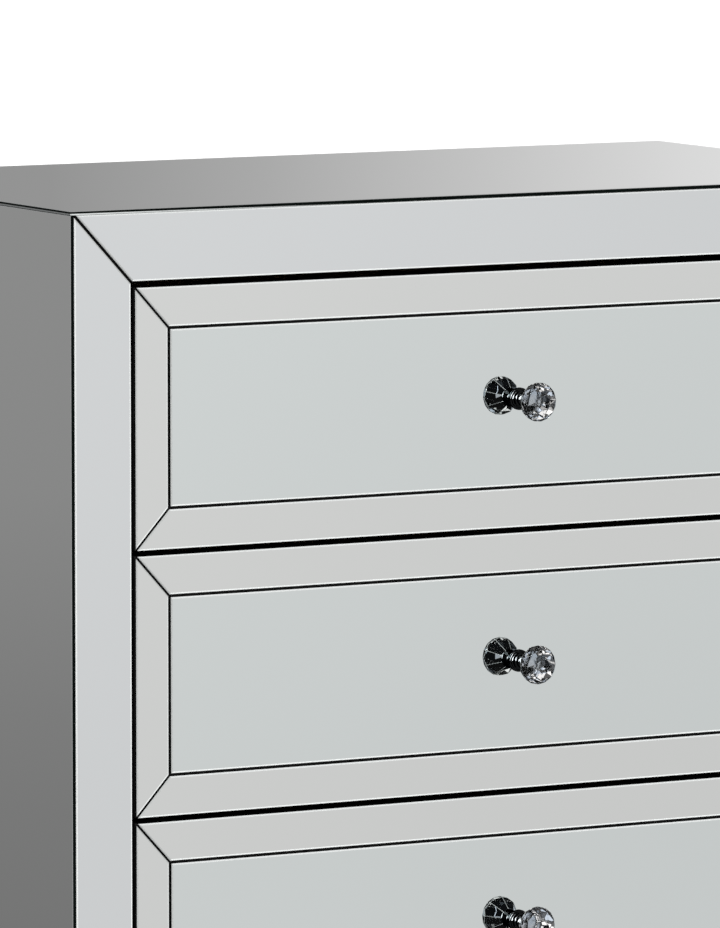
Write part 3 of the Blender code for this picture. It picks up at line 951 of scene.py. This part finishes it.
studio = {
    "floorSize": 160.0,
    "floorTone": (0.86, 0.86, 0.855),
    "floorShade": 0.99,
    "floorGrain": 30.0,
    "floorRoughness": 0.9,
    "floorGloss": 0.1,
    "sunPower": 2.4,
    "sunSoftness": 28.0,
    "sunFrom": (-0.45, -0.55, 0.95),
    "sparkPower": 38.0,         # lamps that only the knobs' polished metal shows
    "sparkSoftness": 34.0,
    "sparksFrom": [(-0.60, -0.70, 0.50), (-0.85, -0.25, 0.25)],
    "scale": 1.3,               # the ramps' nodes hold tones divided by this
    "around": [                 # compass degrees from straight behind the chest towards its right, and tone
        (-180, 0.76), (-150, 0.86), (-119, 1.10), (-95, 0.80), (-70, 0.42), (-45, 0.32), (-27, 0.31),
        (0, 0.29), (20, 0.29), (25.5, 0.30), (27.05, 0.318), (28.37, 0.445), (29.7, 0.59), (30.9, 0.725),
        (33, 0.90), (61, 1.10), (110, 0.88), (135, 0.76), (149, 0.755), (153, 0.797), (165, 0.80),
        (180, 0.76)],
    # height in degrees and how much brighter it is there, where the tone around is bright or dark
    "upBright": [(-90, 1.10), (-60, 1.10), (-30, 0.97), (-15, 0.91), (-8.3, 0.935), (-4.5, 1.0), (6, 1.0),
                 (20, 1.15), (60, 1.28), (90, 1.0)],
    "upDark": [(-90, 1.25), (-60, 1.25), (-45, 1.1), (-20, 0.64), (-10, 0.66), (-8, 0.75), (-6.3, 0.94),
               (-4.5, 1.0), (6, 1.0), (30, 1.2), (90, 1.28)],
    "brightOver": 0.70,
    "darkUnder": 0.45,
    # what the cut crystals gather: a dim room hung with soft boxes
    "dimRoom": 0.006,
    "lowCast": (0.80, 0.88, 1.0),
    "highCast": (1.0, 0.975, 0.965),
    "castHeights": (-12, 8),
    "softBoxes": [              # compass, half its width, height, half its height, tone
        (-130, 50, 10, 50, 0.08), (-115, 20, 15, 8, 0.55), (135, 14, -8, 6, 0.45), (165, 14, -10, 12, 0.5),
        (-150, 10, 12, 6, 1.1), (-110, 10, 48, 17, 0.9), (-90, 10, -33, 15, 0.7), (-170, 10, -25, 7, 0.5),
        (-150, 10, -25, 7, 0.9), (-90, 10, 25, 7, 1.2), (-170, 10, 40, 8, 1.0), (-130, 10, 0, 6, 0.4),
        (150, 4, 40, 5, 1.2), (122, 3, -25, 7, 1.2), (170, 10, 56, 9, 1.2)],
}


def addRamp(tree, value, stops, scale):
    low, high = stops[0][0], stops[-1][0]
    ramp = addNode(tree, "ShaderNodeValToRGB", {0: remap(tree, value, low, high)})
    elements = ramp.color_ramp.elements
    while len(elements) < len(stops):
        elements.new(0.5)
    for element, (at, tone) in zip(elements, stops):
        element.position = (at - low) / (high - low)
        element.color = (*[tone / scale] * 3, 1.0)
    return ramp.outputs[0]


def studioTone(tree, compass, height):
    scale = studio["scale"]
    around = addRamp(tree, compass, studio["around"], scale)
    upBright = addRamp(tree, height, studio["upBright"], scale)
    upDark = addRamp(tree, height, studio["upDark"], scale)
    dark = remap(tree, around, studio["brightOver"] / scale, studio["darkUnder"] / scale)
    tone = addMath(tree, "MULTIPLY", around, mixColour(tree, dark, upBright, upDark))
    return addMath(tree, "MULTIPLY", tone, scale * scale)


def within(tree, value, middle, half):
    return addNode(tree, "ShaderNodeMath", {0: value, 1: middle, 2: half}, operation="COMPARE").outputs[0]


def crystalTone(tree, compass, height):
    tone = studio["dimRoom"]
    for boxCompass, halfWidth, boxHeight, halfHeight, boxTone in studio["softBoxes"]:
        wide = within(tree, compass, boxCompass, halfWidth)
        tall = within(tree, height, boxHeight, halfHeight)
        lit = addMath(tree, "MULTIPLY", wide, addMath(tree, "MULTIPLY", tall, boxTone))
        tone = addMath(tree, "ADD", tone, lit)
    cast = speckle(tree, height, *studio["castHeights"], studio["lowCast"], studio["highCast"])
    inputs = {0: 1.0, 6: cast, 7: tone}
    return addNode(tree, "ShaderNodeMix", inputs, data_type="RGBA", blend_type="MULTIPLY").outputs[2]


def lightStudio():
    world = bpy.data.worlds.new("studio")
    world.use_nodes = True
    bpy.context.scene.world = world
    tree = world.node_tree
    direction = addNode(tree, "ShaderNodeTexCoord").outputs["Generated"]
    axes = addNode(tree, "ShaderNodeSeparateXYZ", {0: direction}).outputs
    compass = addMath(tree, "DEGREES", addMath(tree, "ARCTAN2", axes[0], axes[1]))
    height = addMath(tree, "DEGREES", addMath(tree, "ARCSINE", axes[2]))
    # the dim room shows through glass and after a second reflection; the camera itself sees white
    light = addNode(tree, "ShaderNodeLightPath").outputs
    throughGlass = addMath(tree, "GREATER_THAN", light["Transmission Depth"], 0.5)
    twiceMirrored = addMath(tree, "GREATER_THAN", light["Glossy Depth"], 1.5)
    dim = addMath(tree, "MAXIMUM", throughGlass, twiceMirrored)
    tone = mixColour(tree, dim, studioTone(tree, compass, height), crystalTone(tree, compass, height))
    tone = mixColour(tree, light["Is Camera Ray"], tone, (1.0, 1.0, 1.0))
    tree.links.new(tone, tree.nodes["Background"].inputs["Color"])


def hangSun(name, power, softness, aim):
    sun = bpy.data.lights.new(name, "SUN")
    sun.energy, sun.angle = power, math.radians(softness)
    lamp = bpy.data.objects.new(name, sun)
    lamp.rotation_mode = "QUATERNION"
    lamp.rotation_quaternion = (-Vector(aim)).to_track_quat("-Z", "Y")
    bpy.context.scene.collection.objects.link(lamp)
    return lamp


def hangLamps():
    sun = hangSun("sun", studio["sunPower"], studio["sunSoftness"], studio["sunFrom"])
    sun.data.use_nodes = True
    tree = sun.data.node_tree
    # the sun isn't seen through glass, or it would blaze in the mirrored crystals
    through = addNode(tree, "ShaderNodeLightPath").outputs["Transmission Depth"]
    tree.links.new(addMath(tree, "LESS_THAN", through, 0.5), tree.nodes["Emission"].inputs["Strength"])
    polished = bpy.data.collections.new("polished")
    for base in knobBases:
        polished.objects.link(base)
    for number, aim in enumerate(studio["sparksFrom"]):
        spark = hangSun(f"spark{number}", studio["sparkPower"], studio["sparkSoftness"], aim)
        spark.visible_diffuse = spark.visible_transmission = False
        spark.light_linking.receiver_collection = polished


def layFloor():
    bm = bmesh.new()
    bmesh.ops.create_grid(bm, x_segments=1, y_segments=1, size=studio["floorSize"] / 2)
    mesh = bpy.data.meshes.new("floor")
    bm.to_mesh(mesh)
    bm.free()
    material, tree, shader = startMaterial("paleFloor")
    grain = addNoise(tree, studio["floorGrain"], 3.0)
    tone = studio["floorTone"]
    colour = speckle(tree, grain, *soft, scaled(tone, studio["floorShade"]), tone)
    connect(tree, shader, BaseColor=colour, Roughness=studio["floorRoughness"],
            SpecularIORLevel=studio["floorGloss"])
    mesh.materials.append(material)
    floor = bpy.data.objects.new("floor", mesh)
    floor.visible_glossy = floor.visible_transmission = False
    bpy.context.scene.collection.objects.link(floor)


camera = {
    "azimuth": 28.77,           # degrees left of straight on
    "elevation": 6.14,
    "lens": 335.7,
    "corner": (leftX, frontY, topZ),            # the chest's front top left corner
    "cornerSeen": (-0.2237, 0.1948, 6.6817),    # that corner right of, above and ahead of the lens
    "nearest": 0.1,
    "farthest": 400,
}


def setCamera():
    azimuth, elevation = math.radians(camera["azimuth"]), math.radians(camera["elevation"])
    level = math.cos(elevation)
    across = Vector((math.cos(azimuth), -math.sin(azimuth), 0))
    ahead = Vector((math.sin(azimuth) * level, math.cos(azimuth) * level, -math.sin(elevation)))
    up = across.cross(ahead)
    data = bpy.data.cameras.new("camera")
    data.lens = camera["lens"]
    data.clip_start, data.clip_end = camera["nearest"], camera["farthest"]
    eye = bpy.data.objects.new("camera", data)
    x, y, z = camera["cornerSeen"]
    stand = Vector(camera["corner"]) - across * x - up * y - ahead * z
    eye.matrix_world = Matrix.Translation(stand) @ Matrix((across, up, -ahead)).transposed().to_4x4()
    bpy.context.scene.collection.objects.link(eye)
    bpy.context.scene.camera = eye


lightStudio()
hangLamps()
layFloor()
setCamera()
bpy.context.scene.view_settings.view_transform = "Standard"
print("floor, light and camera set")
